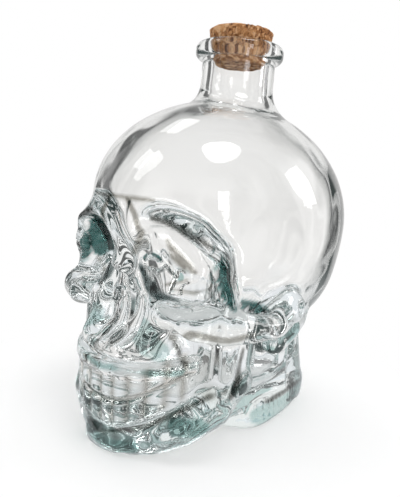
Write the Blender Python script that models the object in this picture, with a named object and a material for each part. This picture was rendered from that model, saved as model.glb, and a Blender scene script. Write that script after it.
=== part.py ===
"""A clear glass bottle in the form of a human skull, closed by a tapered cork stopper.

Metres, +Z up, the face towards -Y. The bottle stands on its chin pad and its heel, and the
origin lies on the table under the middle of its length. The skull is built up as a pattern
maker builds it in clay: eggs, bars and drums run into one another and hollows are carved out.
A skin of rings is probed from the axis and pressed onto that clay, an inner skin follows it at
the wall's thickness, and a turned neck with a lip joins the two.
"""

import math

import bmesh
import bpy
import numpy as np

# Braincase: half its width, half its length from the neck's axis, and the height of its crown
CRANIUM_HALF_WIDTH = 0.0535
CRANIUM_HALF_LENGTH = 0.0650
CROWN_HEIGHT = 0.1520
# Face: half the width over the cheeks, reach of the face before the axis, height of the brow
CHEEK_HALF_WIDTH = 0.050
FACE_REACH = 0.070
BROW_HEIGHT = 0.100

# Neck and lip: each height counts from the one below it, and the neck's from the crown
NECK_RADIUS = 0.0177
NECK_HEIGHT = 0.0215
LIP_HEIGHT = 0.0077
LIP_RADIUS = 0.0212
LIP_ROUND = 0.0030
MOUTH_ROUND = 0.0012

# Cork: how far it stands out of the lip, and the play it keeps in its seat
CORK_PROUD = 0.0068
CORK_HEIGHT = 0.0168
CORK_TOP_RADIUS = 0.0157
CORK_BOTTOM_RADIUS = 0.0124
CORK_CHAMFER = 0.0009
CORK_CLEARANCE = 0.0003

# Glass: the wall, the heavy base and the thickness of the neck's root
WALL = 0.0045
BASE_THICKNESS = 0.0140

# How softly one form runs into the next
HOLLOW_BLEND = 0.009
BROAD_BLEND = 0.014
NECK_BLEND = 0.011
SOFT_BLEND = 0.006
CRISP_BLEND = 0.0035
TOOTH_BLEND = 0.0015
TOOTH_RELIEF = 0.0012
TEETH_PER_SIDE = 7

# Rows of a bar: across, forward and up as shares of the face's three sizes, then the
# bar's thickness as a share of the brow's height
BROW_SHARES = (
    (0, -0.88, 0.98, 0.058),
    (0.38, -0.90, 1.02, 0.062),
    (0.72, -0.84, 0.995, 0.058),
    (0.88, -0.73, 0.90, 0.048),
)
CHEEK_SHARES = (
    (0.36, -0.88, 0.62, 0.055),
    (0.64, -0.87, 0.61, 0.072),
    (0.88, -0.77, 0.61, 0.078),
    (0.98, -0.58, 0.59, 0.060),
    (1.02, -0.36, 0.58, 0.050),
    (0.98, -0.16, 0.62, 0.048),
)
RIM_SHARES = ((0.82, -0.80, 0.91, 0.036), (0.85, -0.74, 0.80, 0.038), (0.86, -0.76, 0.66, 0.048))
RIM_ROOT_SHARES = ((0.72, -0.71, 0.92, 0.056), (0.74, -0.66, 0.66, 0.062))
NOSE_SHARES = ((0, -0.87, 0.95, 0.052), (0, -0.97, 0.80, 0.045))
NOSE_SIDE_SHARES = (
    (0.15, -0.83, 0.92, 0.042),
    (0.25, -0.87, 0.66, 0.052),
    (0.30, -0.93, 0.46, 0.070),
)
JAW_SHARES = (
    (0, -0.95, 0.075, 0.075),
    (0.34, -0.87, 0.075, 0.080),
    (0.57, -0.79, 0.15, 0.085),
    (0.74, -0.66, 0.23, 0.080),
    (0.80, -0.53, 0.33, 0.065),
)
NAPE_SHARES = (
    (0.78, -0.08, 0.45, 0.065),
    (0.76, 0.06, 0.50, 0.075),
    (0.62, 0.30, 0.50, 0.080),
    (0.42, 0.46, 0.48, 0.070),
)
# Rows of an egg: its middle, then its half sizes
BRAINCASE_SHARES = ((0, 0.08, 0.645), (1.01, 1.0, 0.355))
FOREHEAD_SHARES = ((0, -0.25, 0.70), (0.90, 0.865, 0.285))
OCCIPUT_SHARES = ((0, 0.37, 0.474), (0.775, 0.65, 0.217))
MIDFACE_SHARES = ((0, -0.46, 0.66), (0.82, 0.46, 0.34))
TEMPLE_SHARES = ((1.22, -0.49, 0.84), (0.34, 0.27, 0.24))
ORBIT_SHARES = ((0.53, -0.98, 0.835), (0.335, 0.31, 0.18))
NOSTRIL_SHARES = ((0.11, -1.085, 0.62), (0.18, 0.245, 0.155))
CANINE_HOLLOW_SHARES = ((0.57, -1.06, 0.51), (0.16, 0.20, 0.08))
# Rows of a block: its middle, then its half sizes
RAMUS_SHARES = ((0.72, -0.55, 0.42), (0.16, 0.18, 0.16))
CORE_SHARES = ((0, -0.20, 0.33), (0.66, 0.54, 0.25))
# Rows of a drum: middle (forward) and half sizes (across, forward) at its foot and at its
# top, then the heights of its two ends
MUZZLE_SHARES = ((-0.60, 0.59, 0.445), (-0.60, 0.60, 0.455), (0.08, 0.52))
GUM_SHARES = ((-0.60, 0.66, 0.505), (-0.60, 0.65, 0.495), (0.345, 0.405))
UPPER_TEETH_SHARES = ((-0.60, 0.635, 0.485), (-0.60, 0.645, 0.49), (0.245, 0.45))
LOWER_TEETH_SHARES = ((-0.60, 0.62, 0.47), (-0.60, 0.63, 0.48), (0.125, 0.225))
HEEL_SHARES = ((0.33, 0.64, 0.54), (0.28, 0.56, 0.44), (0.04, 0.48))
FOOT_SHARES = ((0.31, 0.70, 0.60), (0.31, 0.66, 0.585), (-0.06, 0.13))
CHIN_PAD_SHARES = ((-0.68, 0.43, 0.41), (-0.68, 0.42, 0.39), (-0.06, 0.10))
# How far the rows of teeth climb towards the cheeks, and where the upper ones are cut off
SMILE_SHARE = 0.15
GUM_LIFT_SHARE = 0.04
GUM_LINE_SHARE = 0.40
EAR_ROOT_SHARES = ((0.80, -0.12, 0.62), (0.20, 0.16, 0.09))
EAR_SHARES = ((0.94, -0.13, 0.64), (0.14, 0.09, 0.066))
EAR_HOLLOW_SHARES = ((1.09, -0.13, 0.64), (0.07, 0.045, 0.033))
# Where the probe's pivots sit on the axis, as shares of the crown's height
OUTER_PIVOT_SHARE = 0.08
INNER_PIVOT_SHARE = 0.22
HIGH_PIVOT_SHARE = 0.74
SHOULDER_SHARE = 0.99
# How closely the hollow follows the clay rather than its big masses alone
FOLLOW_SHARE = 0.65

NECK_TOP = CROWN_HEIGHT + NECK_HEIGHT
LIP_TOP = NECK_TOP + LIP_HEIGHT
CORK_TOP = LIP_TOP + CORK_PROUD
SKULL = np.array((CRANIUM_HALF_WIDTH, CRANIUM_HALF_LENGTH, CROWN_HEIGHT))
FACE = np.array((CHEEK_HALF_WIDTH, FACE_REACH, BROW_HEIGHT))

COLUMNS = 192
LOW_ROWS = 16
SIDE_ROWS = 78
CROWN_ROWS = 18
NECK_ROWS = 4
INNER_LOW_ROWS = 10
INNER_SIDE_ROWS = 28
INNER_CROWN_ROWS = 10
CROWD_SHARE = 0.5
PROBE_REACH = 0.110
PROBE_STEPS = 60
PROBE_HALVINGS = 16
PRESS_NUDGE = 0.0002
RELAX_ROUNDS = 12
ARC_POINTS = 4
# The lip's rings keep one column in four
RING_STRIDE = 4
CORK_SIDES = 48
POLE_MERGE = 0.00001
# Share of the triangles that is left once the smooth places are thinned out
KEPT_SHARE = 0.22


def join(a, b, blend):
    """Two forms run into one with a soft fillet about as wide as the blend."""
    near = np.maximum(blend - np.abs(a - b), 0) / blend
    return np.minimum(a, b) - near * near * blend / 4


def carve(shape, hollow, blend):
    """Takes a hollow out of a form and softens the edge between them."""
    return -join(-shape, hollow, blend)


def egg(p, shares, size):
    middle, half = np.array(shares) * size
    q = (p - middle) / half
    tiny = np.finfo(float).eps
    reach = np.sqrt((q * q).sum(-1)) + tiny
    return reach * (reach - 1) / (np.sqrt((q * q / half / half).sum(-1)) + tiny)


def bar(p, shares):
    """A round bar through the rows of shares, its thickness changing from row to row."""
    rows = np.array(shares)
    spots, thicks = rows[:, :3] * FACE, rows[:, 3] * BROW_HEIGHT
    gaps = []
    for start, end, thick, next_thick in zip(spots, spots[1:], thicks, thicks[1:]):
        along = end - start
        share = np.clip((p - start) @ along / (along @ along), 0, 1)
        away = np.linalg.norm(p - start - share[..., None] * along, axis=-1)
        gaps.append(away - thick - share * (next_thick - thick))
    return np.min(gaps, axis=0)


def block(p, shares, corner):
    middle, half = np.array(shares) * FACE
    q = np.abs(p - middle) - half + corner
    return np.linalg.norm(np.maximum(q, 0), axis=-1) + np.minimum(q.max(-1), 0) - corner


def drum(p, shares, square, corner, taper=0, lift=0, relief=0):
    """An upright drum whose outline lies between an ellipse and a rectangle.

    taper draws its back in, lift bends its ends up towards the cheeks, and relief presses the
    gaps between the teeth into its side."""
    foot, top, heights = shares
    low, high = np.array(heights) * BROW_HEIGHT
    rise = np.clip((p[..., 2] - low) / (high - low), 0, 1)
    outline = [a + rise * (b - a) for a, b in zip(foot, top)]
    y = p[..., 1] - outline[0] * FACE_REACH
    half_x, half_y = outline[1] * CHEEK_HALF_WIDTH, outline[2] * FACE_REACH
    half_x = half_x * (1 - taper * np.clip(y / half_y, -1, 1))
    around = (np.abs(p[..., 0]) / half_x) ** square + (np.abs(y) / half_y) ** square
    level = around ** (1 / square) + np.finfo(float).eps
    side = np.hypot(p[..., 0], y) * (level - 1) / level + corner
    if relief:
        turn = np.arctan2(p[..., 0] / half_x, -y / half_y)
        crown = np.sqrt(np.abs(np.sin(2 * TEETH_PER_SIDE * turn)))
        side = side + relief * (1 - crown)
    z = p[..., 2] - lift * BROW_HEIGHT * np.minimum(np.abs(p[..., 0]) / half_x, 1) ** 2
    end = np.abs(z - (low + high) / 2) - (high - low) / 2 + corner
    outside = np.hypot(np.maximum(side, 0), np.maximum(end, 0))
    return outside + np.minimum(np.maximum(side, end), 0) - corner


def braincase(p):
    shape = egg(p, BRAINCASE_SHARES, SKULL)
    shape = join(shape, egg(p, FOREHEAD_SHARES, SKULL), BROAD_BLEND)
    return join(shape, egg(p, OCCIPUT_SHARES, SKULL), BROAD_BLEND)


def face_on(shape, p):
    """Brow, cheeks, nose and muzzle put on, then temples, orbits and nostrils carved out."""
    shape = join(shape, egg(p, MIDFACE_SHARES, FACE), SOFT_BLEND)
    shape = join(shape, bar(p, RIM_ROOT_SHARES), SOFT_BLEND)
    shape = join(shape, bar(p, BROW_SHARES), SOFT_BLEND)
    shape = carve(shape, egg(p, TEMPLE_SHARES, FACE), SOFT_BLEND)
    shape = join(shape, drum(p, MUZZLE_SHARES, 2.6, SOFT_BLEND), SOFT_BLEND)
    shape = join(shape, block(p, CORE_SHARES, SOFT_BLEND), SOFT_BLEND)
    shape = join(shape, bar(p, RIM_SHARES), CRISP_BLEND)
    shape = join(shape, bar(p, CHEEK_SHARES), CRISP_BLEND)
    shape = join(shape, bar(p, NOSE_SHARES), SOFT_BLEND)
    shape = join(shape, bar(p, NOSE_SIDE_SHARES), CRISP_BLEND)
    for hollow in (ORBIT_SHARES, NOSTRIL_SHARES, CANINE_HOLLOW_SHARES):
        shape = carve(shape, egg(p, hollow, FACE), CRISP_BLEND)
    return shape


def jaws_on(shape, p):
    """The mandible with its upright branch, the gums and both rows of teeth."""
    shape = join(shape, bar(p, JAW_SHARES), CRISP_BLEND)
    shape = join(shape, block(p, RAMUS_SHARES, CRISP_BLEND), CRISP_BLEND)
    gum = drum(p, GUM_SHARES, 2.6, CRISP_BLEND / 2, lift=GUM_LIFT_SHARE)
    upper = drum(p, UPPER_TEETH_SHARES, 2.6, TOOTH_BLEND, lift=SMILE_SHARE, relief=TOOTH_RELIEF)
    upper = np.maximum(upper, p[..., 2] - GUM_LINE_SHARE * BROW_HEIGHT)
    lower = drum(p, LOWER_TEETH_SHARES, 2.6, TOOTH_BLEND, lift=SMILE_SHARE, relief=TOOTH_RELIEF)
    for row in (lower, upper, gum):
        shape = join(shape, row, TOOTH_BLEND)
    return shape


def clay(points):
    """How far each point lies outside the skull, negative inside. Both halves mirror."""
    p = points.copy()
    p[..., 0] = np.abs(p[..., 0])
    shape = jaws_on(face_on(braincase(p), p), p)
    shape = join(shape, bar(p, NAPE_SHARES), SOFT_BLEND)
    shape = join(shape, egg(p, EAR_ROOT_SHARES, FACE), SOFT_BLEND)
    shape = join(shape, egg(p, EAR_SHARES, FACE), CRISP_BLEND)
    shape = carve(shape, egg(p, EAR_HOLLOW_SHARES, FACE), TOOTH_BLEND)
    shape = join(shape, drum(p, HEEL_SHARES, 4, SOFT_BLEND, taper=0.12), CRISP_BLEND)
    shape = join(shape, drum(p, FOOT_SHARES, 3.6, CRISP_BLEND, taper=0.2), CRISP_BLEND)
    shape = join(shape, drum(p, CHIN_PAD_SHARES, 2.3, CRISP_BLEND), CRISP_BLEND)
    neck = np.hypot(p[..., 0], p[..., 1]) - NECK_RADIUS
    neck = np.maximum(neck, HIGH_PIVOT_SHARE * CROWN_HEIGHT - p[..., 2])
    shape = join(shape, np.maximum(neck, p[..., 2] - LIP_TOP), NECK_BLEND)
    return carve(shape, p[..., 2], CRISP_BLEND)


def hollow_of(points):
    """The blown hollow, above the heavy base. It lies a wall inside a form between the clay
    and the big masses alone, so the glass is thicker behind ridges and teeth."""
    p = points.copy()
    p[..., 0] = np.abs(p[..., 0])
    shape = join(braincase(p), egg(p, MIDFACE_SHARES, FACE), HOLLOW_BLEND)
    shape = carve(shape, egg(p, TEMPLE_SHARES, FACE), HOLLOW_BLEND)
    shape = join(shape, drum(p, MUZZLE_SHARES, 2.6, SOFT_BLEND), HOLLOW_BLEND)
    shape = join(shape, block(p, CORE_SHARES, SOFT_BLEND), HOLLOW_BLEND)
    shape = join(shape, block(p, RAMUS_SHARES, CRISP_BLEND), HOLLOW_BLEND)
    shape = join(shape, drum(p, HEEL_SHARES, 4, SOFT_BLEND, taper=0.12), HOLLOW_BLEND)
    for recess in (ORBIT_SHARES, NOSTRIL_SHARES):
        shape = carve(shape, egg(p, recess, FACE), HOLLOW_BLEND)
    shape = FOLLOW_SHARE * clay(points) + (1 - FOLLOW_SHARE) * shape
    return carve(shape + WALL, p[..., 2] - BASE_THICKNESS, HOLLOW_BLEND)


def probe_rays(low, low_rows, side_rows, crown_rows, neck_rows=0):
    """Origins and directions: a fan under the low pivot, level rows, a fan over the high one
    and level rows again up the neck. Columns crowd towards the face."""
    even = np.linspace(0, 2 * math.pi, COLUMNS, endpoint=False)
    turn = even - CROWD_SHARE * np.sin(even)
    high = HIGH_PIVOT_SHARE * CROWN_HEIGHT
    shoulder = SHOULDER_SHARE * CROWN_HEIGHT
    steepest = math.atan2(shoulder - high, NECK_RADIUS + NECK_BLEND / 4)
    rows = [(low, -math.pi / 2 * (1 - (i + 0.7) / low_rows) ** 2) for i in range(low_rows)]
    rows += [(z, 0) for z in np.linspace(low, high, side_rows)]
    rows += [(high, steepest * (i + 1) / crown_rows) for i in range(crown_rows)]
    rows += [(z, 0) for z in np.linspace(shoulder, NECK_TOP, neck_rows + 1)[1:]]
    heights, tilts = np.array(rows).T
    origins = np.zeros((len(rows), COLUMNS, 3))
    origins[..., 2] = heights[:, None]
    level = np.stack([np.sin(turn), -np.cos(turn), np.zeros(COLUMNS)], axis=-1)
    up = np.array((0, 0, 1))
    aims = np.cos(tilts)[:, None, None] * level + np.sin(tilts)[:, None, None] * up
    return origins, aims


def probe(form, origins, aims):
    """How far out along each ray the form's outermost surface lies."""
    stride = PROBE_REACH / PROBE_STEPS
    inner = np.zeros(origins.shape[:-1])
    seeking = np.ones(origins.shape[:-1], bool)
    for depth in np.arange(PROBE_REACH, 0, -stride):
        inner[seeking] = depth
        seeking[seeking] = form(origins[seeking] + aims[seeking] * depth) > 0
    outer = inner + stride
    for _ in range(PROBE_HALVINGS):
        middle = (inner + outer) / 2
        inside = form(origins + aims * middle[..., None]) < 0
        inner = np.where(inside, middle, inner)
        outer = np.where(inside, outer, middle)
    return (inner + outer) / 2


def neighbours(grid):
    """The grid and its eight shifts: round the columns, and up and down the rows."""
    padded = np.concatenate([grid[:1], grid, grid[-1:]])
    rows = [padded[:-2], padded[1:-1], padded[2:]]
    return np.stack([np.roll(row, turn, axis=1) for row in rows for turn in (-1, 0, 1)])


def pressed(skin):
    """Moves each point along the clay's slope until it lies on the clay."""
    level = clay(skin)
    nudges = np.eye(3) * PRESS_NUDGE
    slope = np.stack([clay(skin + nudge) - level for nudge in nudges], axis=-1) / PRESS_NUDGE
    steepness = (slope * slope).sum(-1) + np.finfo(float).eps
    return skin - slope * (level / steepness)[..., None]


def relaxed(skin):
    """Evens out the skin's grid and presses it back onto the clay. The end rows stay."""
    skin = pressed(skin)
    for _ in range(RELAX_ROUNDS):
        sides = np.roll(skin, 1, axis=1) + np.roll(skin, -1, axis=1)
        even = (sides[1:-1] + skin[:-2] + skin[2:]) / 4
        skin[1:-1] = pressed((even + skin[1:-1]) / 2)
    return skin


def outer_skin():
    """Rings from the bottom to the neck's top. The reach is softened first, so that a step
    behind a rim doesn't show as teeth, and then the skin is pressed back onto the clay."""
    origins, aims = probe_rays(
        OUTER_PIVOT_SHARE * CROWN_HEIGHT, LOW_ROWS, SIDE_ROWS, CROWN_ROWS, NECK_ROWS
    )
    reach = probe(clay, origins, aims)
    skull = slice(0, -NECK_ROWS)
    reach[skull] = neighbours(neighbours(reach[skull]).mean(axis=0)).mean(axis=0)
    skin = relaxed(origins + aims * reach[..., None])
    skin[..., 2] = np.maximum(skin[..., 2], 0)
    return skin


def inner_skin():
    """Rings of the hollow up to its crown."""
    origins, aims = probe_rays(
        INNER_PIVOT_SHARE * CROWN_HEIGHT, INNER_LOW_ROWS, INNER_SIDE_ROWS, INNER_CROWN_ROWS
    )
    origins, aims = origins[:, ::2], aims[:, ::2]
    reach = probe(hollow_of, origins, aims)
    reach = neighbours(reach).mean(axis=0)
    return origins + aims * reach[..., None]


def circle_ring(radius, height):
    turn = np.linspace(0, 2 * math.pi, COLUMNS, endpoint=False)
    turn = (turn - CROWD_SHARE * np.sin(turn))[::RING_STRIDE]
    return np.stack([radius * np.sin(turn), -radius * np.cos(turn), np.full(len(turn), height)], -1)


def cork_radius(height):
    share = (height - CORK_TOP + CORK_HEIGHT) / CORK_HEIGHT
    return CORK_BOTTOM_RADIUS + share * (CORK_TOP_RADIUS - CORK_BOTTOM_RADIUS)


def arc(middle_radius, middle_height, radius, start, end):
    """Points of a quarter round in the lip's outline, the angles in quarter turns."""
    turns = np.linspace(start, end, ARC_POINTS) * math.pi / 2
    return [
        (middle_radius + radius * math.cos(turn), middle_height + radius * math.sin(turn))
        for turn in turns
    ]


def turned_outline():
    """Radius and height over the bead of the lip, into the mouth and down the bore."""
    bead = LIP_RADIUS - LIP_ROUND
    mouth = cork_radius(LIP_TOP - MOUTH_ROUND) + CORK_CLEARANCE
    bore = CORK_BOTTOM_RADIUS + CORK_CLEARANCE
    shoulder = SHOULDER_SHARE * CROWN_HEIGHT
    points = arc(bead, NECK_TOP + LIP_ROUND, LIP_ROUND, -1, 0)
    points += arc(bead, LIP_TOP - LIP_ROUND, LIP_ROUND, 0, 1)
    points += arc(mouth + MOUTH_ROUND, LIP_TOP - MOUTH_ROUND, MOUTH_ROUND, 1, 2)
    return points + [(bore, CORK_TOP - CORK_HEIGHT), (bore, shoulder + WALL)]


def glass_rings():
    """Every ring of the bottle, from the bottom's middle over the lip to the hollow's floor."""
    outer, inner = outer_skin(), inner_skin()
    bottom, floor = outer[0].mean(axis=0), inner[0].mean(axis=0)
    skull = [[bottom], *outer[:-NECK_ROWS], outer[-NECK_ROWS][::2]]
    turned = [*outer[1 - NECK_ROWS :, ::RING_STRIDE]]
    turned += [circle_ring(radius, height) for radius, height in turned_outline()]
    throat = (turned[-1] + inner[-1, ::2]) / 2
    throat[:, 2] = inner[-1, ::2, 2] + WALL / 2
    hollow = [throat, *inner[::-1], [floor]]
    return skull, turned, hollow


def skin_faces(mesh, lower, upper):
    """Joins two rings. One may have twice as many points as the other, or be one point."""
    if len(lower) < len(upper):
        lower, upper = upper, lower
    count, ratio = len(lower), len(lower) // len(upper)
    for i in range(0, count, 1 if len(upper) == 1 else ratio):
        after = (i + ratio) % count
        if len(upper) == 1:
            mesh.faces.new((lower[i], lower[(i + 1) % count], upper[0]))
            continue
        near, far = upper[i // ratio], upper[after // ratio]
        if ratio == 1:
            mesh.faces.new((lower[i], lower[after], far, near))
            continue
        mesh.faces.new((lower[i], lower[i + 1], near))
        mesh.faces.new((lower[i + 1], far, near))
        mesh.faces.new((lower[i + 1], lower[after], far))


def material(name, colour, roughness, transmission=0):
    made = bpy.data.materials.new(name)
    made.use_nodes = True
    shader = made.node_tree.nodes["Principled BSDF"]
    shader.inputs["Base Color"].default_value = (*colour, 1)
    shader.inputs["Roughness"].default_value = roughness
    shader.inputs["Metallic"].default_value = 0
    shader.inputs["Transmission Weight"].default_value = transmission
    made.diffuse_color = (*colour, 1)
    return made


def finish(name, mesh, surface, sharp_degrees):
    mesh.shade_smooth()
    mesh.set_sharp_from_angle(angle=math.radians(sharp_degrees))
    mesh.materials.append(surface)
    made = bpy.data.objects.new(name, mesh)
    bpy.context.scene.collection.objects.link(made)
    return made


def glass_bottle():
    skull, turned, hollow = glass_rings()
    rings = [*skull, *turned, *hollow]
    lengths = np.concatenate(skull)[:, 1]
    setback = (lengths.min() + lengths.max()) / 2
    shape = bmesh.new()
    loops = [[shape.verts.new(point) for point in ring] for ring in rings]
    for lower, upper in zip(loops, loops[1:]):
        skin_faces(shape, lower, upper)
    bmesh.ops.recalc_face_normals(shape, faces=shape.faces)
    mesh = bpy.data.meshes.new("glass_bottle")
    shape.to_mesh(mesh)
    shape.free()
    bottle = finish("glass_bottle", mesh, material("clear_glass", (0.80, 0.90, 0.88), 0.03, 1), 50)
    before = sum(len(ring) for ring in skull)
    kept = bottle.vertex_groups.new(name="turned")
    kept.add(range(before, before + sum(len(ring) for ring in turned)), 1, "REPLACE")
    thin = bottle.modifiers.new("thin_out", "DECIMATE")
    thin.ratio = KEPT_SHARE
    thin.vertex_group = kept.name
    thin.invert_vertex_group = True
    bottle.location = (0, -setback, 0)
    return bottle


def cork_stopper(bottle):
    """A tapered round cork, turned by a Screw from its half outline, top to bottom."""
    base = CORK_TOP - CORK_HEIGHT
    outline = [
        (0, CORK_HEIGHT),
        (CORK_TOP_RADIUS - CORK_CHAMFER, CORK_HEIGHT),
        (cork_radius(CORK_TOP - CORK_CHAMFER), CORK_HEIGHT - CORK_CHAMFER),
        (cork_radius(CORK_TOP - CORK_HEIGHT / 2), CORK_HEIGHT / 2),
        (cork_radius(base + CORK_CHAMFER), CORK_CHAMFER),
        (CORK_BOTTOM_RADIUS - CORK_CHAMFER, 0),
        (0, 0),
    ]
    mesh = bpy.data.meshes.new("cork_stopper")
    edges = [(i, i + 1) for i in range(len(outline) - 1)]
    mesh.from_pydata([(radius, 0, height) for radius, height in outline], edges, [])
    cork = finish("cork_stopper", mesh, material("cork", (0.62, 0.36, 0.19), 0.85), 40)
    turn = cork.modifiers.new("turn", "SCREW")
    turn.steps = turn.render_steps = CORK_SIDES
    turn.use_merge_vertices = True
    turn.merge_threshold = POLE_MERGE
    turn.use_smooth_shade = True
    cork.parent = bottle
    cork.location = (0, 0, base)
    return cork


def main():
    for old in list(bpy.data.objects):
        bpy.data.objects.remove(old)
    cork_stopper(glass_bottle())


main()
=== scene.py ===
"""Looks of the skull bottle: fine moulded glass, a pressed cork, a pale floor and soft light."""

import math

import bmesh
import bpy
import numpy as np
from mathutils import Matrix, Vector
from mathutils.bvhtree import BVHTree


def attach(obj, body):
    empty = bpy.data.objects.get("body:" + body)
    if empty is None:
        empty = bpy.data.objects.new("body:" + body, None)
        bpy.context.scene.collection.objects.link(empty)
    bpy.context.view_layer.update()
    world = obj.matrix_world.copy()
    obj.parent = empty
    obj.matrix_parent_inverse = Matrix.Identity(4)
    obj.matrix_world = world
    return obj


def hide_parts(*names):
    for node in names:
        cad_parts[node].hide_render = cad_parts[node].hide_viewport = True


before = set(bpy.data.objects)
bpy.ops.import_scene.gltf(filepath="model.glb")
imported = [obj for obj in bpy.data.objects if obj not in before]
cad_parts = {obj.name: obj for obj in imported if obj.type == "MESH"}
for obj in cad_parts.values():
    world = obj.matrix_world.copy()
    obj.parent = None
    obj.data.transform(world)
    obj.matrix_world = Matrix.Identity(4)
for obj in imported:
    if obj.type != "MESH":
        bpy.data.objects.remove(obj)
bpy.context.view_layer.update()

# Sizes of the bottle in metres, as the solid part has them
CRANIUM_HALF_WIDTH = 0.0535
CRANIUM_HALF_LENGTH = 0.0650
CROWN_HEIGHT = 0.1520
CHEEK_HALF_WIDTH = 0.050
FACE_REACH = 0.070
BROW_HEIGHT = 0.100
NECK_RADIUS = 0.0177
NECK_TOP = 0.1735
NECK_SETBACK = 0.0034386
LIP_TOP = 0.1812
LIP_RADIUS = 0.0212
LIP_ROUND = 0.0030
MOUTH_ROUND = 0.0012
CORK_TOP = 0.1880
CORK_HEIGHT = 0.0168
CORK_TOP_RADIUS = 0.0157
CORK_BOTTOM_RADIUS = 0.0124
CORK_CHAMFER = 0.0009
CORK_CLEARANCE = 0.0003
WALL = 0.0045
BASE_THICKNESS = 0.0140
TOOTH_RELIEF = 0.0012
TEETH_PER_SIDE = 7
# How softly the forms run into each other
BROAD_BLEND = 0.014
NECK_BLEND = 0.011
HOLLOW_BLEND = 0.009
SOFT_BLEND = 0.006
CRISP_BLEND = 0.0035
TOOTH_BLEND = 0.0015
# How much of the outside's relief the hollow repeats
FOLLOW = 0.65

# Small unevenness of the blown glass: its depth and its length
SWELL, SWELL_LENGTH = 0.00008, 0.012
INNER_SWELL, INNER_SWELL_LENGTH = 0.00025, 0.018
INNER_SMOOTHING = 14
THINNEST_WALL = 0.0018
# Keeps the fine skin inside the box of the solid part's flat faces
SKIN_EASE = 0.998
# The dimples low on the glass, and the ribs round the foot of the heel, which start behind the
# given share of the face's reach
HAMMER_TOP, HAMMER_DEPTH, HAMMER_LENGTH = 0.018, 0.00035, 0.0075
KNURLS, KNURL_HEIGHT, KNURL_REACH, KNURL_DEPTH = 60, 0.0090, 0.0042, 0.00065
KNURLS_START = -0.3
# Waves that an uneven field is summed from, and how far their lengths stray
WAVES, SLOWEST_WAVE, FASTEST_WAVE = 14, 0.6, 1.5

# Bars: across, forward, up and thickness, as shares of the face's sizes
BROW = (
    (0, -0.88, 0.98, 0.058), (0.34, -0.91, 0.995, 0.060), (0.62, -0.87, 0.935, 0.054),
    (0.80, -0.78, 0.83, 0.046),
)
CHEEK = (
    (0.36, -0.88, 0.62, 0.055), (0.64, -0.87, 0.61, 0.072), (0.88, -0.77, 0.61, 0.078),
    (0.98, -0.58, 0.59, 0.060), (1.02, -0.36, 0.58, 0.050), (0.98, -0.16, 0.62, 0.048),
)
RIM = ((0.77, -0.81, 0.84, 0.036), (0.83, -0.75, 0.75, 0.038), (0.88, -0.72, 0.64, 0.046))
RIM_ROOT = ((0.68, -0.71, 0.87, 0.056), (0.74, -0.66, 0.66, 0.062))
NOSE = ((0, -0.87, 0.95, 0.052), (0, -0.97, 0.80, 0.045))
NOSE_SIDE = ((0.15, -0.83, 0.92, 0.042), (0.25, -0.87, 0.66, 0.052), (0.30, -0.93, 0.46, 0.070))
JAW = (
    (0, -0.95, 0.075, 0.075), (0.34, -0.87, 0.075, 0.080), (0.57, -0.79, 0.15, 0.085),
    (0.74, -0.66, 0.23, 0.080), (0.80, -0.53, 0.33, 0.065),
)
NAPE = (
    (0.78, -0.08, 0.45, 0.065), (0.76, 0.06, 0.50, 0.075), (0.62, 0.30, 0.50, 0.080),
    (0.42, 0.46, 0.48, 0.070),
)
# Eggs and blocks: middle, then half sizes
BRAINCASE = ((0, 0.08, 0.645), (1.01, 1.0, 0.355))
FOREHEAD = ((0, -0.25, 0.70), (0.90, 0.865, 0.285))
OCCIPUT = ((0, 0.37, 0.474), (0.775, 0.65, 0.217))
MIDFACE = ((0, -0.46, 0.66), (0.82, 0.46, 0.34))
TEMPLE = ((1.22, -0.49, 0.84), (0.34, 0.27, 0.24))
ORBIT = ((0.52, -0.98, 0.82), (0.325, 0.31, 0.14))
ORBIT_SLANT = 0.38
NOSTRIL = ((0.11, -1.085, 0.62), (0.18, 0.245, 0.155))
CANINE_HOLLOW = ((0.57, -1.06, 0.51), (0.16, 0.20, 0.08))
RAMUS = ((0.72, -0.55, 0.42), (0.16, 0.18, 0.16))
CORE = ((0, -0.20, 0.33), (0.66, 0.54, 0.25))
EAR_ROOT = ((0.80, -0.12, 0.62), (0.20, 0.16, 0.09))
EAR = ((0.94, -0.13, 0.64), (0.14, 0.09, 0.066))
EAR_HOLLOW = ((1.09, -0.13, 0.64), (0.07, 0.045, 0.033))
# Drums: middle and half sizes at foot and top, then the heights of both ends
MUZZLE = ((-0.60, 0.59, 0.445), (-0.60, 0.60, 0.455), (0.08, 0.52))
GUM = ((-0.60, 0.66, 0.505), (-0.60, 0.65, 0.495), (0.345, 0.405))
UPPER_TEETH = ((-0.60, 0.635, 0.485), (-0.60, 0.645, 0.49), (0.245, 0.45))
LOWER_TEETH = ((-0.60, 0.62, 0.47), (-0.60, 0.63, 0.48), (0.125, 0.225))
HEEL = ((0.33, 0.64, 0.54), (0.28, 0.56, 0.44), (0.04, 0.48))
FOOT = ((0.31, 0.70, 0.60), (0.31, 0.66, 0.585), (-0.06, 0.13))
CHIN_PAD = ((-0.68, 0.43, 0.41), (-0.68, 0.42, 0.39), (-0.06, 0.10))
# How square a drum's outline is, 2 being an ellipse, and how much it narrows backwards
MUZZLE_SQUARE, HEEL_SQUARE, FOOT_SQUARE, CHIN_SQUARE = 2.6, 4, 3.6, 2.3
HEEL_TAPER, FOOT_TAPER = 0.12, 0.2
# How far the rows of teeth and the gum rise towards the cheeks, and where the upper row ends
SMILE = 0.15
GUM_LIFT = 0.04
GUM_LINE = 0.40

# Tones of the painted shade along the ridges that fold the light away; the teal ones also carry the green
# of the thick glass
DEEP_TEAL, SEA, PALE_TEAL = (0.025, 0.080, 0.075), (0.34, 0.50, 0.48), (0.52, 0.66, 0.645)
DARK_GREY, GREY = (0.10, 0.125, 0.125), (0.16, 0.16, 0.15)
SHADE, WARM_GREY = (0.25, 0.25, 0.235), (0.33, 0.32, 0.29)
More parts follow.
